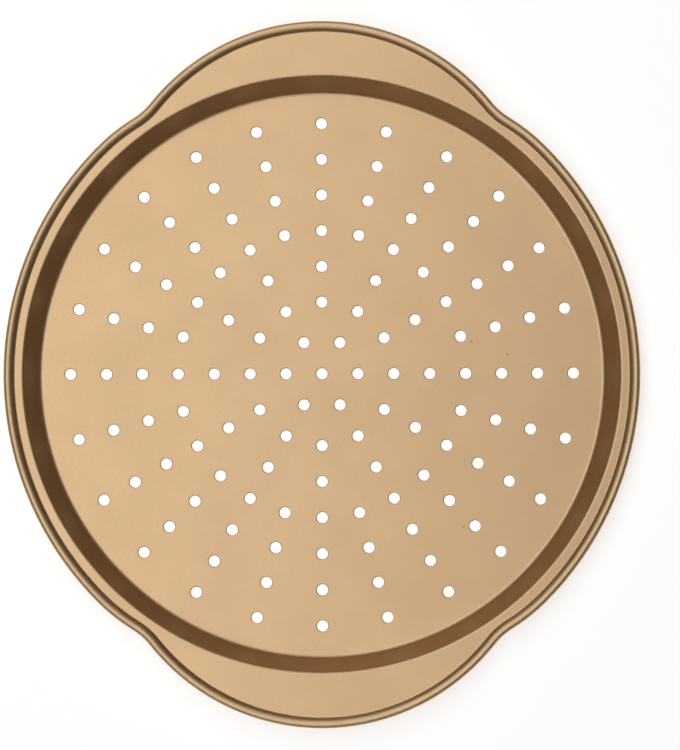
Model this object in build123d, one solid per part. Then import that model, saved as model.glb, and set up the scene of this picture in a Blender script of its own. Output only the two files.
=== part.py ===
"""Round perforated pizza pan: one pressed steel sheet with two handle lobes, its rim curled over a wire.

Millimetres, +Z up. The origin is the middle of the floor's underside, on which the pan stands. The
handles lie along Y.
"""
from build123d import *
from collections import namedtuple
from math import acos, atan, cos, degrees, floor, log2, radians, sin, tan
import os

# The sheet
sheet = 0.6  # thickness of the steel

# The dish, measured on the top side of the sheet
floor_radius = 149.4  # to the corner at the foot of the wall
wall_run = 7.2  # the wall leans this far out on its way up
dish_depth = 13.1  # top of the floor to top of the flange
foot_bend = 2.8  # inner radius of the bend at the foot of the wall
lip_bend = 1.4  # inner radius of the bend at the top of the wall

# The rim, which bends up from a crease in the flange to a broad crown and curls round the wire
side_flange = 4.3  # top of the wall to the crease, at the middle of the pan's sides
band_share = 1 / 3  # of the side flange that is made with the dish, and as much again with the rim
crease_bend = 1.0  # inner radius of the crease
rim_slope = 60  # degrees, the steepest slope of the sheet, where the crease meets the crown
crown_radius = 3.6  # outer radius of the crown, from the crease to the top of the rim
curl_wrap = 225  # degrees that the sheet turns round the wire, from the top of the rim
wire_diameter = 2.5
wire_clearance = 0.1  # between the wire and the curl
wire_end_gap = 1.0  # between the two ends of the wire

# The outline: on each quarter a side arc, a shoulder, a hollow waist and the handle's arc
side_shift = 2.5  # the side arcs are struck from this far past the middle
waist_depth = 1.25  # the waist cuts this far inside the circle of the side arc
waist_radius = 36.0
shoulder_radius = 100.0
handle_radius = 115.0
handle_reach = 18.6  # the handles stand out this much further than the sides

# The holes: rings one pitch apart, with twice the holes each time the ring number doubles
hole_diameter = 5.9
hole_pitch = 19.0
hole_margin = 9.0  # least distance from the middle of a hole to the foot of the wall
first_ring_holes = 6
punch_roll = 0.5  # rounding of a hole's upper edge, drawn down by the punch

overrun = 2.0  # how far cutters pass the faces they cut

# What follows from these sizes
flange_top = sheet + dish_depth
wall_top_radius = floor_radius + wall_run
wall_angle = degrees(atan(dish_depth / wall_run))
flange_start = wall_top_radius + side_flange * band_share
rim_top = flange_top + (crease_bend + crown_radius) * (1 - cos(radians(rim_slope)))
curl_radius = wire_diameter / 2 + wire_clearance + sheet
curl_height = rim_top - curl_radius
crown_height = rim_top - crown_radius
crease_inset = curl_radius + (crease_bend + crown_radius) * sin(radians(rim_slope))
rim_inset = crease_inset + side_flange * band_share
half_width = wall_top_radius + side_flange + crease_inset
half_length = half_width + handle_reach

Arc = namedtuple("Arc", "centre radius start end hollow")


def turned(angle):
    """The unit vector at this many degrees round from X."""
    return Vector(cos(radians(angle)), sin(radians(angle)))


def angle_of(vector):
    """How many degrees round from X a vector points, from -180 to 180."""
    return Vector(1, 0).get_signed_angle(vector, Vector(0, 0, 1))


def corner(first, second, opposite):
    """The angle in degrees between the first two sides of a triangle, from the lengths of all three."""
    return degrees(acos((first**2 + second**2 - opposite**2) / (2 * first * second)))


def quarter_outline():
    """The outline's arcs between +X and +Y, each touching the next, with their angles in degrees.

    The waist is hollow: its circle lies outside the pan, touches the handle's circle and dips into
    the side's. The shoulder rounds that corner: it touches the side from inside and the waist from
    outside. Where circles touch, their middles are as far apart as their radii added or subtracted.
    """
    side_radius = half_width + side_shift
    side = Vector(-side_shift, 0)
    handle = Vector(0, half_length - handle_radius)
    to_waist = side_radius - waist_depth + waist_radius
    turn = corner((handle - side).length, to_waist, handle_radius + waist_radius)
    waist_angle = angle_of(handle - side) - turn
    waist = side + turned(waist_angle) * to_waist
    to_shoulder = side_radius - shoulder_radius
    shoulder_start = waist_angle - corner(to_shoulder, to_waist, shoulder_radius + waist_radius)
    shoulder = side + turned(shoulder_start) * to_shoulder
    shoulder_end = angle_of(waist - shoulder)
    handle_start = angle_of(waist - handle)
    return [
        Arc(side, side_radius, 0, shoulder_start, False),
        Arc(shoulder, shoulder_radius, shoulder_start, shoulder_end, False),
        Arc(waist, waist_radius, handle_start + 180, shoulder_end + 180, True),
        Arc(handle, handle_radius, handle_start, 90, False),
    ]


def in_four(quarter):
    """The shapes of one quarter with their mirror images in the other three."""
    half = quarter + [mirror(shape, about=Plane.YZ) for shape in quarter]
    return half + [mirror(shape, about=Plane.XZ) for shape in half]


def outline_face(inset):
    """The flat face inside the pan's outline, set in by this much all round."""
    edges = []
    for arc in quarter_outline():
        radius = arc.radius + inset if arc.hollow else arc.radius - inset
        edges.append(CenterArc(arc.centre, radius, arc.start, arc.end - arc.start))
    return make_face(in_four(edges))


def along_outline(section):
    """The section carried round the pan. Its X runs outwards from the outer edge and its Y is up."""
    pieces = []
    for arc in quarter_outline():
        spoke = turned(arc.start)
        edge_point = arc.centre + spoke * arc.radius
        outwards = -spoke if arc.hollow else spoke
        upright = Plane(edge_point, x_dir=outwards, z_dir=outwards.cross(Vector(0, 0, 1)))
        axis = Axis(arc.centre, (0, 0, 1))
        pieces.append(revolve(upright * section, axis, revolution_arc=arc.end - arc.start))
    return in_four(pieces)


def strip(side_line):
    """The section of a sheet, from a function that draws the line at a given depth below its top side."""
    top = side_line(0)
    under = side_line(sheet)
    return make_face([top, under, Line(top @ 0, under @ 0), Line(top @ 1, under @ 1)])


def dish_line(depth):
    """Floor, wall and the bend at its top, from the middle outwards, at a depth below the top side."""
    shift = depth * tan(radians(wall_angle / 2))
    return FilletPolyline(
        (0, sheet - depth),
        (floor_radius + shift, sheet - depth),
        (wall_top_radius + shift, flange_top - depth),
        (flange_start, flange_top - depth),
        radius=[foot_bend + depth, lip_bend + sheet - depth],
    )


def rim_line(depth):
    """Crease, crown and curl at a depth below the top side. X is 0 at the pan's outer edge.

    Each arc touches the next. The crown and the curl meet at the top of the rim.
    """
    flange = Line((-rim_inset, flange_top - depth), (-crease_inset, flange_top - depth))
    crease = CenterArc((-crease_inset, flange_top + crease_bend), crease_bend + depth, -90, rim_slope)
    crown = CenterArc((-curl_radius, crown_height), crown_radius - depth, 90 + rim_slope, -rim_slope)
    curl = CenterArc((-curl_radius, curl_height), curl_radius - depth, 90, -curl_wrap)
    return Wire([flange, crease, crown, curl])


def hole_cutter():
    """Cuts one hole, whose upper edge is rounded where the punch drew the sheet down."""
    radius = hole_diameter / 2
    mouth = radius + punch_roll
    side = Line((radius, -overrun), (radius, sheet - punch_roll))
    roll = RadiusArc(side @ 1, (mouth, sheet), punch_roll)
    rest = Polyline((mouth, sheet), (mouth, sheet + overrun), (0, sheet + overrun), (0, -overrun), side @ 0)
    return revolve(Plane.XZ * make_face([side, roll, rest]), Axis.Z)


def hole_places():
    """One hole in the middle, and rings of evenly spaced holes that each start on X."""
    places = [Location()]
    rings = floor((floor_radius - hole_margin) / hole_pitch)
    for ring in range(1, rings + 1):
        holes = first_ring_holes * 2 ** floor(log2(ring))
        places += PolarLocations(ring * hole_pitch, holes).locations
    return places


def pan_body():
    """The pressed sheet."""
    dish = revolve(Plane.XZ * strip(dish_line), Axis.Z)
    flange_face = outline_face(rim_inset) - Circle(flange_start)
    flange = extrude(Pos(0, 0, flange_top - sheet) * flange_face, sheet)
    body = dish + [flange, *along_outline(strip(rim_line))]
    cutter = hole_cutter()
    return body - [place * cutter for place in hole_places()]


def rim_wire():
    """The wire in the middle of the curl, with its ends facing on the +X side."""
    ring = Part() + along_outline(Pos(-curl_radius, curl_height) * Circle(wire_diameter / 2))
    reach = wire_diameter + 2 * overrun
    gap = Box(reach, wire_end_gap, reach)
    return ring - Pos(half_width - curl_radius, 0, curl_height) * gap


os.makedirs("parts", exist_ok=True)
for name, piece in {"pan_body": pan_body(), "rim_wire": rim_wire()}.items():
    export_step(piece, f"parts/{name}.step")
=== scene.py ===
"""The look of a perforated pizza pan: its pressed sheet, its gold coating, its wire and its stage.

Metres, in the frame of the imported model: +Z up, the handles along Y, and the origin in the middle of
the floor's underside, on which the pan stands.
"""
import math

import bmesh
import bpy
import numpy as np
from bpy.props import FloatProperty, FloatVectorProperty, IntProperty, PointerProperty
from bpy.types import Operator, Panel, PropertyGroup
from mathutils import Euler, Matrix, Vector


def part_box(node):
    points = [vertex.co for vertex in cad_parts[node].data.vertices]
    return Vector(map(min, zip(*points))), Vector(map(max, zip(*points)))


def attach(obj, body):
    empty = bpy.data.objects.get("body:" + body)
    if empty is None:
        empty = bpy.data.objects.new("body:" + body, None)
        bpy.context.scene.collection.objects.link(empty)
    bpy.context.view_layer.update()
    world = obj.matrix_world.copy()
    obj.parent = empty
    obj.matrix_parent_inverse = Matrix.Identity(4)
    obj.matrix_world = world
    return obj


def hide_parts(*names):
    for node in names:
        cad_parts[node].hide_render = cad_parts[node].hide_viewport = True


bl_info = {
    "name": "Perforated Pizza Pan",
    "version": (1, 0, 0),
    "blender": (4, 5, 0),
    "location": "View3D > Sidebar > Pizza Pan",
    "description": "Builds a pressed pizza pan with a gold coating and a wired rim, and its stage",
    "category": "Add Mesh",
}

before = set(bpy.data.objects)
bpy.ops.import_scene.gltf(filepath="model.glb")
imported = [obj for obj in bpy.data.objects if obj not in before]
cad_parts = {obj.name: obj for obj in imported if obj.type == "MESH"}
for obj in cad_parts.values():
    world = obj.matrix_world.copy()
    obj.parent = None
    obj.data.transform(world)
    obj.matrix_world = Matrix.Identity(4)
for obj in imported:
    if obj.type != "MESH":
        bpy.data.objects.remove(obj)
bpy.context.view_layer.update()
PAN_LOW, PAN_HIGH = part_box("pan_body")
WIRE_LOW, WIRE_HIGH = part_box("rim_wire")
MM = 0.001
MERGE_DISTANCE = 0.001 * MM  # points nearer than this are one
ROUND_OFF = 9  # decimals of a direction past which nothing is meant
FLOOR_SIDES = 96  # of the round studio floor
WHITE = (1.0, 1.0, 1.0, 1.0)
SPECKS = ((79.0, 17.0, 0.6), (98.0, 10.0, 0.6), (74.5, -81.0, 0.6))  # on the pan's floor, in mm
NOISE_SPAN = (0.3, 0.7)  # the range that nearly all of a noise falls in
PATCH_SPAN = (0.35, 0.65)  # a narrower one, so that the patches differ more plainly


# The values that a user would change


def length(name, description, default):
    """A size in metres."""
    return FloatProperty(
        name=name, description=description, default=default, min=0, precision=5,
        unit="LENGTH", subtype="DISTANCE",
    )


def angle(name, description, degrees):
    """An angle, given in degrees and kept in radians."""
    return FloatProperty(
        name=name, description=description, default=math.radians(degrees), subtype="ANGLE"
    )


def colour(name, description, *default):
    """A linear colour."""
    return FloatVectorProperty(
        name=name, description=description, default=default, min=0, max=1, size=3, subtype="COLOR"
    )


def share(name, description, default):
    """A share between nothing and all."""
    return FloatProperty(
        name=name, description=description, default=default, min=0, max=1, subtype="FACTOR"
    )


def whole_number(name, description, default, least=1):
    """A whole number."""
    return IntProperty(name=name, description=description, default=default, min=least)


class PanSizes(PropertyGroup):
    """Sizes of the pressed sheet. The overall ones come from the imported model."""

    half_width: length("Half width", "Middle of the pan to the side of the rim", PAN_HIGH.x)
    half_length: length("Half length", "Middle of the pan to the end of a handle", PAN_HIGH.y)
    height: length("Height", "Underside of the floor to the top of the rim", PAN_HIGH.z)
    sheet: length("Sheet", "Thickness of the steel", 0.6 * MM)
    floor_radius: length("Floor radius", "Middle of the pan to the corner under the wall", 149.4 * MM)
    wall_run: length("Wall run", "How far the wall leans out on its way up", 7.2 * MM)
    foot_bend: length("Foot bend", "Inner radius of the bend under the wall", 2.8 * MM)
    lip_bend: length("Lip bend", "Inner radius of the bend at the top of the wall", 1.4 * MM)
    flange_hold: length("Flange hold", "Flange that goes with the wall, and with the rim", 1.4 * MM)
    crease_bend: length("Crease bend", "Inner radius of the crease between flange and rim", 1.0 * MM)
    crown_radius: length("Crown radius", "Radius of the rim's inner side, over the wire", 3.6 * MM)
    rim_slope: angle("Rim slope", "Steepest slope of the sheet between the crease and the crown", 60)
    curl_wrap: angle("Curl wrap", "How far the sheet turns round the wire from the top of the rim", 225)
    wire_diameter: length("Wire diameter", "Thickness of the wire in the rim", WIRE_HIGH.z - WIRE_LOW.z)
    wire_clearance: length("Wire clearance", "Room between the wire and the curl", 0.1 * MM)
    side_shift: length("Side shift", "The side arcs are struck from this far past the middle", 2.5 * MM)
    waist_depth: length("Waist depth", "How far the waist cuts inside the side's circle", 1.25 * MM)
    waist_radius: length("Waist radius", "Radius of the hollow beside a handle", 36 * MM)
    shoulder_radius: length("Shoulder radius", "Radius between the side and the waist", 100 * MM)
    handle_radius: length("Handle radius", "Radius of a handle's outer edge", 115 * MM)
    hole_diameter: length("Hole diameter", "Width of a steam hole", 5.9 * MM)
    hole_pitch: length("Hole pitch", "Distance between the rings of holes", 19 * MM)
    punch_roll: length("Punch roll", "Rounding of a hole's upper edge", 0.5 * MM)
    rings: whole_number("Rings", "Number of rings of holes", 7)
    first_ring: whole_number("First ring", "Holes in the first ring", 6, 3)


class PanMesh(PropertyGroup):
    """How finely the sheet is divided."""

    points_per_ring: whole_number(
        "Points per ring", "Points added round each ring, a multiple of the last ring's holes", 48, 24
    )
    bend_step: angle("Bend step", "Turn of a bend from one row of points to the next", 7.5)
    curl_step: angle("Curl step", "Turn of the curl from one row of points to the next", 11)
    hold: length("Hold", "Distance of the rows that keep a flat flat beside a bend", 0.12 * MM)
    cell_steps: whole_number("Cell steps", "Steps between one ring of holes and the next", 6)
    roll_steps: whole_number("Roll steps", "Steps round a hole's upper edge", 4)
    sharp_angle: angle("Sharp angle", "Edges that turn by more than this stay sharp", 40)


class PanFinish(PropertyGroup):
    """Colours and surface of the coating and the wire."""

    gold: colour("Gold", "Colour of the coating", 0.68, 0.47, 0.27)
    gold_deep: colour("Deep gold", "Colour in the coating's darker patches", 0.675, 0.466, 0.267)
    gold_edge: colour("Gold edge", "Tint of the coating seen at a flat angle", 0.3, 0.2, 0.14)
    coating_rough_low: share("Roughness, low", "Roughness of the coating where it lies smoothest", 0.48)
    coating_rough_high: share("Roughness, high", "Roughness of the coating where it lies roughest", 0.52)
    patch: length("Patch", "Width of the coating's slightly darker patches", 45 * MM)
    flake: length("Flake", "Width of a metal flake in the coating", 0.3 * MM)
    flake_tilt: share("Flake tilt", "How far the flakes lean out of the surface", 0.05)
    flake_contrast: share("Flake contrast", "How much lighter or darker a flake can be", 0.07)
    peel: length("Peel", "Width of the ripples in the sprayed coating", 1.4 * MM)
    peel_height: length("Peel height", "Height of the ripples in the sprayed coating", 0.003 * MM)
    speck: colour("Speck", "Colour of the few specks in the coating", 0.4, 0.24, 0.11)
    speck_width: length("Speck width", "Middle of a speck to where it has faded out", 1.1 * MM)
    steel: colour("Steel", "Colour of the bare wire", 0.55, 0.55, 0.56)
    wire_rough_low: share("Steel roughness, low", "Roughness of the wire where it lies smoothest", 0.25)
    wire_rough_high: share("Steel roughness, high", "Roughness of the wire where it lies roughest", 0.45)
    drawn_line: length("Drawn line", "Width of the lines that drawing leaves on the wire", 0.12 * MM)
    drawn_depth: length("Drawn depth", "Depth of the lines that drawing leaves on the wire", 0.005 * MM)
    stain: length("Stain", "Width of the wire's darker stains", MM * 50 / 3)
    stain_level: share("Stain level", "Lightness of the wire's darkest stains", 0.85)


class PanStage(PropertyGroup):
    """Camera, floor and light."""

    camera_place: FloatVectorProperty(
        name="Camera place", description="Where the camera stands",
        default=(0.01335, -0.06611, 1.41853), unit="LENGTH", subtype="TRANSLATION",
    )
    camera_turn: FloatVectorProperty(
        name="Camera turn", description="How the camera is turned from looking straight down",
        default=[math.radians(turn) for turn in (2.6405, 0.1622, -0.1593)],
        unit="ROTATION", subtype="EULER",
    )
    lens: FloatProperty(
        name="Lens", description="Focal length for a 36 mm sensor", default=128.83, unit="CAMERA"
    )
    floor_size: length("Floor size", "Radius of the floor", 12)
    floor_drop: length("Floor drop", "Gap that keeps the floor clear of the pan", 0.05 * MM)
    floor_paint: colour("Floor paint", "Colour of the floor, as the lamp lights it", 0.7, 0.7, 0.7)
    floor_white: FloatProperty(
        name="Floor white", description="Brightness of the floor apart from the lamp's light",
        default=0.62, min=0,
    )
    lamp_place: FloatVectorProperty(
        name="Lamp place", description="Middle of the soft overhead lamp", default=(-0.44, 0.6, 2.2),
        unit="LENGTH", subtype="TRANSLATION",
    )
    lamp_width: length("Lamp width", "Extent of the soft overhead lamp along X", 1.7)
    lamp_length: length("Lamp length", "Extent of the soft overhead lamp along Y", 6.0)
    lamp_level: FloatProperty(
        name="Lamp level", description="Brightness of the lamp's face, where 1 is white",
        default=1.85, min=0,
    )
    room_level: FloatProperty(
        name="Room level", description="Brightness of the room round the stage", default=0.03, min=0
    )


# The outline and the sections


def outline(sizes, turn):
    """Points and outward directions of the pan's outer edge, at these angles round from X.

    A quarter is four touching arcs: side, shoulder, hollow waist and handle. Each ray from the middle
    meets its arc where its length t has |t d - c| = r, so t is d.c plus the root of r^2 - (d x c)^2, or
    minus it on the hollow waist, whose circle lies outside the pan. The other quarters mirror this one.
    """
    side_r = sizes.half_width + sizes.side_shift
    side = np.array([-sizes.side_shift, 0.0])
    handle = np.array([0.0, sizes.half_length - sizes.handle_radius])
    to_waist = side_r - sizes.waist_depth + sizes.waist_radius
    across = handle - side
    bearing = math.atan2(across[1], across[0]) - opposite_angle(
        math.hypot(*across), to_waist, sizes.handle_radius + sizes.waist_radius
    )
    waist = side + to_waist * heading(bearing)
    to_shoulder = side_r - sizes.shoulder_radius
    start = bearing - opposite_angle(to_shoulder, to_waist, sizes.shoulder_radius + sizes.waist_radius)
    shoulder = side + to_shoulder * heading(start)
    joints = [
        side + side_r * heading(start),
        shoulder + (waist - shoulder) * sizes.shoulder_radius / math.hypot(*(waist - shoulder)),
        handle + (waist - handle) * sizes.handle_radius / math.hypot(*(waist - handle)),
    ]
    limits = [math.atan2(joint[1], joint[0]) for joint in joints]
    centres = np.array([side, shoulder, waist, handle])
    radii = np.array([side_r, sizes.shoulder_radius, sizes.waist_radius, sizes.handle_radius])
    signs = np.array([1, 1, -1, 1])

    mirrors = np.sign(np.round(heading(turn), ROUND_OFF))
    rays = np.abs(heading(turn))
    which = np.searchsorted(limits, np.arctan2(rays[:, 1], rays[:, 0]))
    centre, radius, sign = centres[which], radii[which], signs[which]
    along = np.sum(rays * centre, 1)
    aside = rays[:, 0] * centre[:, 1] - rays[:, 1] * centre[:, 0]
    points = rays * (along + sign * np.sqrt(radius**2 - aside**2))[:, None]
    outwards = (points - centre) * (sign / radius)[:, None]
    return points * mirrors, outwards * mirrors


def heading(turn):
    """Unit vectors at these angles round from X."""
    return np.stack([np.cos(turn), np.sin(turn)], -1)


def opposite_angle(first, second, opposite):
    """The angle between the first two sides of a triangle, by the law of cosines."""
    return math.acos((first**2 + second**2 - opposite**2) / (2 * first * second))


def arc(centre, radius, start, sweep, step):
    """Points round a circle, from one angle through a sweep: centre + radius (cos, sin)."""
    count = max(2, math.ceil(abs(sweep) / step)) + 1
    return np.array(centre) + radius * heading(np.linspace(start, start + sweep, count))


def bent_line(corners, radii, mesh):
    """A line with rounded corners.

    An arc touches both of its runs, its radius times the tangent of half its turn from the corner.
    Where a run is long enough, a point a hold away from each of its bends keeps the flat flat.
    """
    corners = np.array(corners)
    runs = np.diff(corners, axis=0)
    lengths = np.hypot(*runs.T)
    runs /= lengths[:, None]
    parts = [corners[:1]]
    for corner, radius, before, after in zip(corners[1:-1], radii, runs, runs[1:]):
        turn = math.atan2(before[0] * after[1] - before[1] * after[0], before @ after)
        reach = radius * math.tan(abs(turn) / 2)
        left = np.array([-before[1], before[0]]) * math.copysign(1, turn)
        centre = corner - before * reach + left * radius
        start = math.atan2(-left[1], -left[0])
        parts.append([corner - before * (reach + mesh.hold)])
        parts.append(arc(centre, radius, start, turn, mesh.bend_step))
        parts.append([corner + after * (reach + mesh.hold)])
    parts.append(corners[-1:])
    return np.concatenate(parts)


def dish_rows(sizes, mesh, depth, inner_radius):
    """Radius and height of the dish's rows, at a depth below its top side, from the holes outwards."""
    slope = math.atan2(flange_top(sizes) - sizes.sheet, sizes.wall_run)
    shift = depth * math.tan(slope / 2)
    top = flange_top(sizes) - depth
    wall_top = sizes.floor_radius + sizes.wall_run
    corners = [
        (inner_radius, sizes.sheet - depth),
        (sizes.floor_radius + shift, sizes.sheet - depth),
        (wall_top + shift, top),
        (wall_top + sizes.flange_hold, top),
    ]
    radii = [sizes.foot_bend + depth, sizes.lip_bend + sizes.sheet - depth]
    return bent_line(corners, radii, mesh)


def flange_top(sizes):
    """Height of the flange's top side: the rim's top less what the crease and the crown rise.

    Each of the two arcs rises by its radius times 1 - cos(rim slope).
    """
    return sizes.height - (sizes.crease_bend + sizes.crown_radius) * (1 - math.cos(sizes.rim_slope))


def rim_rows(sizes, mesh, depth):
    """Distance out from the outer edge, and height, of the rim's rows at a depth below its top side.

    The flange ends in a crease that bends the sheet up by the rim's slope. The crown bends it level
    again above the wire, and the curl runs on round the wire. Each arc touches the next.
    """
    curl_radius = sizes.wire_diameter / 2 + sizes.wire_clearance + sizes.sheet
    slope = sizes.rim_slope
    right = math.pi / 2
    crease = curl_radius + (sizes.crease_bend + sizes.crown_radius) * math.sin(slope)
    flange = flange_top(sizes)
    middles = [
        (-crease, flange + sizes.crease_bend),
        (-curl_radius, sizes.height - sizes.crown_radius),
        (-curl_radius, sizes.height - curl_radius),
    ]
    return np.concatenate([
        [(-crease - sizes.flange_hold, flange - depth), (-crease - mesh.hold, flange - depth)],
        arc(middles[0], sizes.crease_bend + depth, -right, slope, mesh.bend_step),
        arc(middles[1], sizes.crown_radius - depth, right + slope, -slope, mesh.bend_step)[1:],
        arc(middles[2], curl_radius - depth, right, -sizes.curl_wrap, mesh.curl_step)[1:],
    ])


def wall_and_rim(sizes, mesh):
    """The sheet outside the holes: a section carried round, as an array of rows by stations by 3.

    Rows of the dish are circles about Z. Rows of the rim lie along the outline's own normals, at a
    fixed distance in from the outer edge.
    """
    stations = mesh.points_per_ring * (sizes.rings + 1)
    turn = np.arange(stations) * (2 * math.pi / stations)
    edge, outwards = outline(sizes, turn)
    inner = sizes.hole_pitch * (sizes.rings + 0.5)
    top_dish = dish_rows(sizes, mesh, 0, inner)
    top_rim = rim_rows(sizes, mesh, 0)
    under_rim = rim_rows(sizes, mesh, sizes.sheet)[::-1]
    under_dish = dish_rows(sizes, mesh, sizes.sheet, inner)[::-1]

    def circles(rows):
        return rows[:, None, :1] * heading(turn)

    def offsets(rows):
        return edge + rows[:, None, :1] * outwards

    plan = np.concatenate(
        [circles(top_dish), offsets(top_rim), offsets(under_rim), circles(under_dish)]
    )
    heights = np.concatenate([top_dish, top_rim, under_rim, under_dish])[:, 1]
    tall = np.broadcast_to(heights[:, None, None], plan.shape[:2] + (1,))
    return np.concatenate([plan, tall], 2)


def hole_cells(sizes, mesh):
    """The perforated floor: an array of copies by rows by points by 3 for the middle hole and each ring.

    A cell is a piece of the ring between two circles and two spokes. Each point of its border looks at
    the middle of the hole, and its rows run along that line: over the top of the sheet to the hole's
    mouth, down the rolled edge and the cut side, and back under the sheet to the border. The number
    of holes doubles at the second ring, the fourth, the eighth and so on.
    """
    pitch = sizes.hole_pitch
    whole = np.arange(mesh.points_per_ring) * (2 * math.pi / mesh.points_per_ring)
    cells = [hole_cell(sizes, mesh, heading(whole) * pitch / 2, np.zeros(2))[None]]
    for ring in range(1, sizes.rings + 1):
        count = sizes.first_ring * 2 ** int(math.log2(ring))
        half = math.pi / count
        inside = np.linspace(-half, half, mesh.points_per_ring * ring // count + 1)
        outside = np.linspace(half, -half, mesh.points_per_ring * (ring + 1) // count + 1)
        radii = pitch * np.linspace(ring - 0.5, ring + 0.5, mesh.cell_steps + 1)[:, None]
        border = np.concatenate([
            radii[0] * heading(inside)[:-1],
            radii[:-1] * heading(half),
            radii[-1] * heading(outside)[:-1],
            radii[:0:-1] * heading(-half),
        ])
        cell = hole_cell(sizes, mesh, border, np.array([ring * pitch, 0.0]))
        turns = np.arange(count) * (2 * half)
        spin = np.stack([heading(turns), heading(turns + math.pi / 2)], 1)
        plan = np.einsum("rpi,cij->crpj", cell[..., :2], spin)
        tall = np.broadcast_to(cell[..., 2:], plan.shape[:3] + (1,))
        cells.append(np.concatenate([plan, tall], 3))
    return cells


def hole_cell(sizes, mesh, border, centre):
    """One hole in a piece of floor with this border: rows by points by 3.

    A row is the border, or the hole's middle plus the row's radius times the unit vector to each
    point of the border, at the row's height.
    """
    radius = sizes.hole_diameter / 2
    right = math.pi / 2
    middle = (radius + sizes.punch_roll, sizes.sheet - sizes.punch_roll)
    roll = arc(middle, sizes.punch_roll, right, right, right / mesh.roll_steps)
    rows = np.concatenate([[roll[0] + (mesh.hold, 0)], roll, [(radius, 0), (radius + mesh.hold, 0)]])
    outwards = border - centre
    outwards /= np.hypot(*outwards.T)[:, None]
    plan = centre + rows[:, None, :1] * outwards
    tall = np.broadcast_to(rows[:, None, 1:], plan.shape[:2] + (1,))
    top = np.insert(border, 2, sizes.sheet, 1)
    under = np.insert(border, 2, 0, 1)
    return np.concatenate([top[None], np.concatenate([plan, tall], 2), under[None]])


def ring_faces(shape, first):
    """Faces of closed rings of points, one ring a row, numbered from first.

    The shape is copies by rows by points. A face joins two neighbours on a ring to the same two on
    the next ring.
    """
    copies, rows, points = shape
    number = first + np.arange(copies * rows * points).reshape(shape)
    beside = np.roll(number, -1, 2)
    corners = [number[:, :-1], beside[:, :-1], beside[:, 1:], number[:, 1:]]
    return np.stack(corners, -1).reshape(-1, 4)


def grid_mesh(name, grids, sharp_angle):
    """A mesh of several grids whose shared borders are merged, smooth but for its sharp edges."""
    points = []
    faces = []
    first = 0
    for grid in grids:
        points.append(grid.reshape(-1, 3))
        faces.append(ring_faces(grid.shape[:3], first))
        first += len(points[-1])
    data = bpy.data.meshes.new(name)
    data.from_pydata(np.concatenate(points), [], np.concatenate(faces))
    shell = bmesh.new()
    shell.from_mesh(data)
    bmesh.ops.remove_doubles(shell, verts=shell.verts, dist=MERGE_DISTANCE)
    bmesh.ops.recalc_face_normals(shell, faces=shell.faces)
    faulty = [edge for edge in shell.edges if not edge.is_manifold]
    if faulty:
        raise RuntimeError(f"{name} has {len(faulty)} edges without exactly two faces")
    shell.to_mesh(data)
    shell.free()
    data.shade_smooth()
    data.set_sharp_from_angle(angle=sharp_angle)
    return data


def add_object(name, data):
    """An object at the origin that shows this data."""
    thing = bpy.data.objects.new(name, data)
    bpy.context.scene.collection.objects.link(thing)
    return thing


# The finishes


class Finish:
    """A material and its nodes, with short calls to add a node and to join it to others."""

    def __init__(self, name):
        self.material = bpy.data.materials.new(name)
        self.material.use_nodes = True
        self.tree = self.material.node_tree
        self.tree.nodes.clear()

    def add(self, kind, inputs, **settings):
        """A node of this kind. An input is a value or the output of another node."""
        node = self.tree.nodes.new(f"ShaderNode{kind}")
        for name, value in settings.items():
            setattr(node, name, value)
        for name, value in inputs.items():
            socket = node.inputs[name]
            if isinstance(value, bpy.types.NodeSocket):
                self.tree.links.new(value, socket)
            else:
                socket.default_value = value
        return node

    def place(self):
        """The place of the shaded point on the object."""
        return self.add("TexCoord", {}).outputs["Object"]

    def math(self, operation, first, second=0.0):
        """The result of a sum on two numbers."""
        return self.add("Math", {0: first, 1: second}, operation=operation).outputs[0]

    def vector(self, operation, first, second=(0.0, 0.0, 0.0)):
        """The vector that comes of a sum on two vectors."""
        return self.add("VectorMath", {0: first, 1: second}, operation=operation).outputs[0]

    def measure(self, operation, first, second=(0.0, 0.0, 0.0)):
        """The number that comes of a sum on two vectors, such as their distance."""
        node = self.add("VectorMath", {0: first, 1: second}, operation=operation)
        return node.outputs["Value"]

    def scaled(self, vector, factor):
        """A vector or a colour times a number."""
        node = self.add("VectorMath", {0: vector, "Scale": factor}, operation="SCALE")
        return node.outputs[0]

    def noise(self, place, width, detail, roughness=0.5):
        """A soft random pattern with blots of this width."""
        inputs = {"Vector": place, "Scale": 1 / width, "Detail": detail, "Roughness": roughness}
        return self.add("TexNoise", inputs).outputs["Fac"]

    def bump(self, height, distance):
        """The surface's direction where a pattern raises it by up to this distance."""
        inputs = {"Height": height, "Distance": distance, "Strength": 1.0}
        return self.add("Bump", inputs).outputs[0]

    def ramp(self, value, low, high, out_low, out_high):
        """A number carried from one range to another, and held inside it."""
        inputs = {
            "Value": value, "From Min": low, "From Max": high, "To Min": out_low, "To Max": out_high
        }
        return self.add("MapRange", inputs).outputs[0]

    def mix(self, factor, first, second):
        """A colour between two colours, which are sockets 6 and 7 of a mix node, and output 2."""
        node = self.add("Mix", {0: factor, 6: first, 7: second}, data_type="RGBA")
        return node.outputs[2]

    def output(self, shader):
        """The material's surface."""
        self.add("OutputMaterial", {"Surface": shader})
        return self.material


def rgba(colour_value):
    """A colour with its alpha."""
    return (*colour_value, 1.0)


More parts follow.
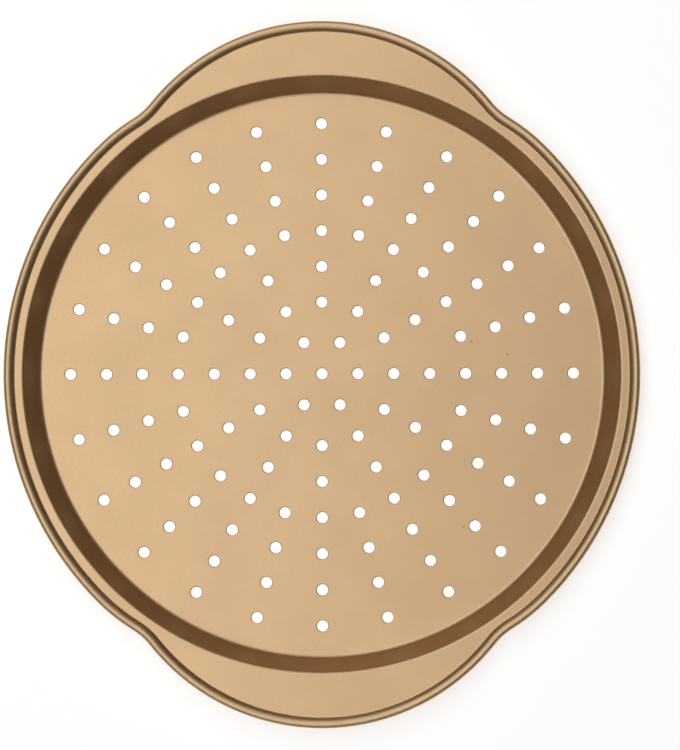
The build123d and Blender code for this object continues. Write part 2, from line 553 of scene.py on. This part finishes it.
def gold_coating(finish):
    """Satin champagne-gold metallic non-stick coating, sprayed on.

    Fine flakes lean a little out of the surface and vary in tone, the sprayed film ripples slightly,
    and soft patches differ a shade in colour and gloss.
    """
    nodes = Finish("gold_coating")
    place = nodes.place()
    patches = nodes.noise(place, finish.patch, detail=3.0, roughness=0.6)
    patch_share = nodes.ramp(patches, *PATCH_SPAN, 0.0, 1.0)
    inputs = {"Vector": place, "Scale": 1 / finish.flake}
    flake_side = nodes.add("TexVoronoi", inputs, feature="F1").outputs["Color"]
    flake_tone = nodes.add("SeparateColor", {"Color": flake_side}).outputs["Red"]

    patch_colour = nodes.mix(patch_share, rgba(finish.gold), rgba(finish.gold_deep))
    contrast = finish.flake_contrast
    flake_light = nodes.ramp(flake_tone, 0.0, 1.0, 1 - contrast, 1 + contrast)
    flake_colour = nodes.scaled(patch_colour, flake_light)
    nearest, *others = [nodes.measure("DISTANCE", place, Vector(speck) * MM) for speck in SPECKS]
    for other in others:
        nearest = nodes.math("MINIMUM", nearest, other)
    speck_share = nodes.ramp(nearest, 0.0, finish.speck_width, 1.0, 0.0)

    rough_share = nodes.math("MULTIPLY", nodes.math("ADD", patch_share, flake_tone), 0.5)
    lean = nodes.vector("SUBTRACT", flake_side, (0.5, 0.5, 0.5))
    rippled = nodes.bump(nodes.noise(place, finish.peel, detail=2.0), finish.peel_height)
    leaning = nodes.vector("ADD", rippled, nodes.scaled(lean, finish.flake_tilt))
    inputs = {
        "Base Color": nodes.mix(speck_share, flake_colour, rgba(finish.speck)),
        "Metallic": 1.0,
        "Roughness": nodes.ramp(
            rough_share, 0.0, 1.0, finish.coating_rough_low, finish.coating_rough_high
        ),
        "Specular Tint": rgba(finish.gold_edge),
        "Normal": nodes.vector("NORMALIZE", leaning),
    }
    return nodes.output(nodes.add("BsdfPrincipled", inputs).outputs[0])


def drawn_steel(finish):
    """Bare steel wire, with the fine lines that drawing leaves along it and a few soft stains.

    The lines are a noise on the distance from the middle of the pan and the height, so they run
    along the wire.
    """
    nodes = Finish("drawn_steel")
    place = nodes.place()
    height = nodes.add("SeparateXYZ", {"Vector": place}).outputs["Z"]
    radius = nodes.measure("LENGTH", nodes.vector("MULTIPLY", place, (1.0, 1.0, 0.0)))
    section = nodes.add("CombineXYZ", {"X": radius, "Y": height}).outputs[0]
    lines = nodes.noise(section, finish.drawn_line, detail=3.0)
    stains = nodes.noise(place, finish.stain, detail=4.0)
    inputs = {
        "Base Color": nodes.scaled(
            tuple(finish.steel), nodes.ramp(stains, *NOISE_SPAN, finish.stain_level, 1.0)
        ),
        "Metallic": 1.0,
        "Roughness": nodes.ramp(lines, *NOISE_SPAN, finish.wire_rough_low, finish.wire_rough_high),
        "Normal": nodes.bump(lines, finish.drawn_depth),
    }
    return nodes.output(nodes.add("BsdfPrincipled", inputs).outputs[0])


def pale_floor(stage):
    """A matt floor that keeps the pan's shadow, and that camera, gloss and glass see as white."""
    nodes = Finish("pale_floor")
    rays = nodes.add("LightPath", {}).outputs
    seen = nodes.math("MAXIMUM", rays["Is Camera Ray"], rays["Is Glossy Ray"])
    seen = nodes.math("MAXIMUM", seen, rays["Is Transmission Ray"])
    strength = nodes.math("MULTIPLY", seen, stage.floor_white)
    glow = nodes.add("Emission", {"Strength": strength}).outputs[0]
    matt = nodes.add("BsdfDiffuse", {"Color": rgba(stage.floor_paint)}).outputs[0]
    return nodes.output(nodes.add("AddShader", {0: glow, 1: matt}).outputs[0])


# The operators


class PAN_OT_sheet(Operator):
    """Build the pressed sheet: perforated floor, wall, flange, handles and curled rim"""

    bl_idname = "pizza_pan.make_sheet"
    bl_label = "Make Sheet"

    def execute(self, context):
        pan = context.scene.pizza_pan
        sizes, mesh = pan.sizes, pan.mesh
        grids = [wall_and_rim(sizes, mesh)[None], *hole_cells(sizes, mesh)]
        sheet = add_object("pressed_sheet", grid_mesh("pressed_sheet", grids, mesh.sharp_angle))
        sheet.data.materials.append(gold_coating(pan.finish))
        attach(sheet, "root")
        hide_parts("pan_body")
        return {"FINISHED"}


class PAN_OT_wire(Operator):
    """Give the wire inside the rim its bare drawn steel"""

    bl_idname = "pizza_pan.finish_wire"
    bl_label = "Finish Wire"

    def execute(self, context):
        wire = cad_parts["rim_wire"]
        wire.data.materials.clear()
        wire.data.materials.append(drawn_steel(context.scene.pizza_pan.finish))
        return {"FINISHED"}


class PAN_OT_stage(Operator):
    """Set up the floor, the soft overhead lamp, the room and the camera"""

    bl_idname = "pizza_pan.set_stage"
    bl_label = "Set Stage"

    def execute(self, context):
        scene = context.scene
        stage = scene.pizza_pan.stage
        scene.view_settings.view_transform = "Standard"
        turn = np.arange(FLOOR_SIDES) * (2 * math.pi / FLOOR_SIDES)
        rim = heading(turn) * stage.floor_size
        data = bpy.data.meshes.new("studio_floor")
        data.from_pydata(np.insert(rim, 2, -stage.floor_drop, 1), [], [range(FLOOR_SIDES)])
        floor = add_object("studio_floor", data)
        floor.data.materials.append(pale_floor(stage))

        lamp = bpy.data.lights.new("soft_lamp", "AREA")
        lamp.shape = "ELLIPSE"
        lamp.size = stage.lamp_width
        lamp.size_y = stage.lamp_length
        area = math.pi * stage.lamp_width * stage.lamp_length / 4
        lamp.energy = stage.lamp_level * math.pi * area  # a flat lamp gives pi x brightness x area
        lamp_object = add_object("soft_lamp", lamp)
        lamp_object.location = stage.lamp_place

        world = bpy.data.worlds.new("room")
        world.use_nodes = True
        back = world.node_tree.nodes["Background"]
        back.inputs["Color"].default_value = WHITE
        back.inputs["Strength"].default_value = stage.room_level
        scene.world = world

        data = bpy.data.cameras.new("photo_camera")
        data.lens = stage.lens
        camera = add_object("photo_camera", data)
        camera.location = stage.camera_place
        camera.rotation_euler = Euler(stage.camera_turn)
        scene.camera = camera
        return {"FINISHED"}


class PizzaPan(PropertyGroup):
    """All that a user would change."""

    sizes: PointerProperty(type=PanSizes, name="Sizes", description="Sizes of the pressed sheet")
    mesh: PointerProperty(type=PanMesh, name="Mesh", description="How finely the sheet is divided")
    finish: PointerProperty(type=PanFinish, name="Finish", description="Colours and surface")
    stage: PointerProperty(type=PanStage, name="Stage", description="Camera, floor and light")


class PAN_PT_panel(Panel):
    """The pan's values and its operators"""

    bl_idname = "PAN_PT_panel"
    bl_label = "Pizza Pan"
    bl_space_type = "VIEW_3D"
    bl_region_type = "UI"
    bl_category = "Pizza Pan"

    def draw(self, context):
        pan = context.scene.pizza_pan
        for group, operator in (
            (pan.sizes, PAN_OT_sheet),
            (pan.mesh, None),
            (pan.finish, PAN_OT_wire),
            (pan.stage, PAN_OT_stage),
        ):
            box = self.layout.box()
            for name in group.__annotations__:
                box.prop(group, name)
            if operator:
                box.operator(operator.bl_idname)


CLASSES = (
    PanSizes, PanMesh, PanFinish, PanStage, PizzaPan,
    PAN_OT_sheet, PAN_OT_wire, PAN_OT_stage, PAN_PT_panel,
)


def register():
    """Add the panel, the operators and the pan's values."""
    for made in CLASSES:
        bpy.utils.register_class(made)
    bpy.types.Scene.pizza_pan = PointerProperty(
        type=PizzaPan, name="Pizza pan", description="The pan's values"
    )


def unregister():
    """Take them away again."""
    del bpy.types.Scene.pizza_pan
    for made in reversed(CLASSES):
        bpy.utils.unregister_class(made)


def main():
    """Build the pan and its stage."""
    register()
    bpy.ops.pizza_pan.make_sheet()
    bpy.ops.pizza_pan.finish_wire()
    bpy.ops.pizza_pan.set_stage()


if __name__ == "__main__":
    main()
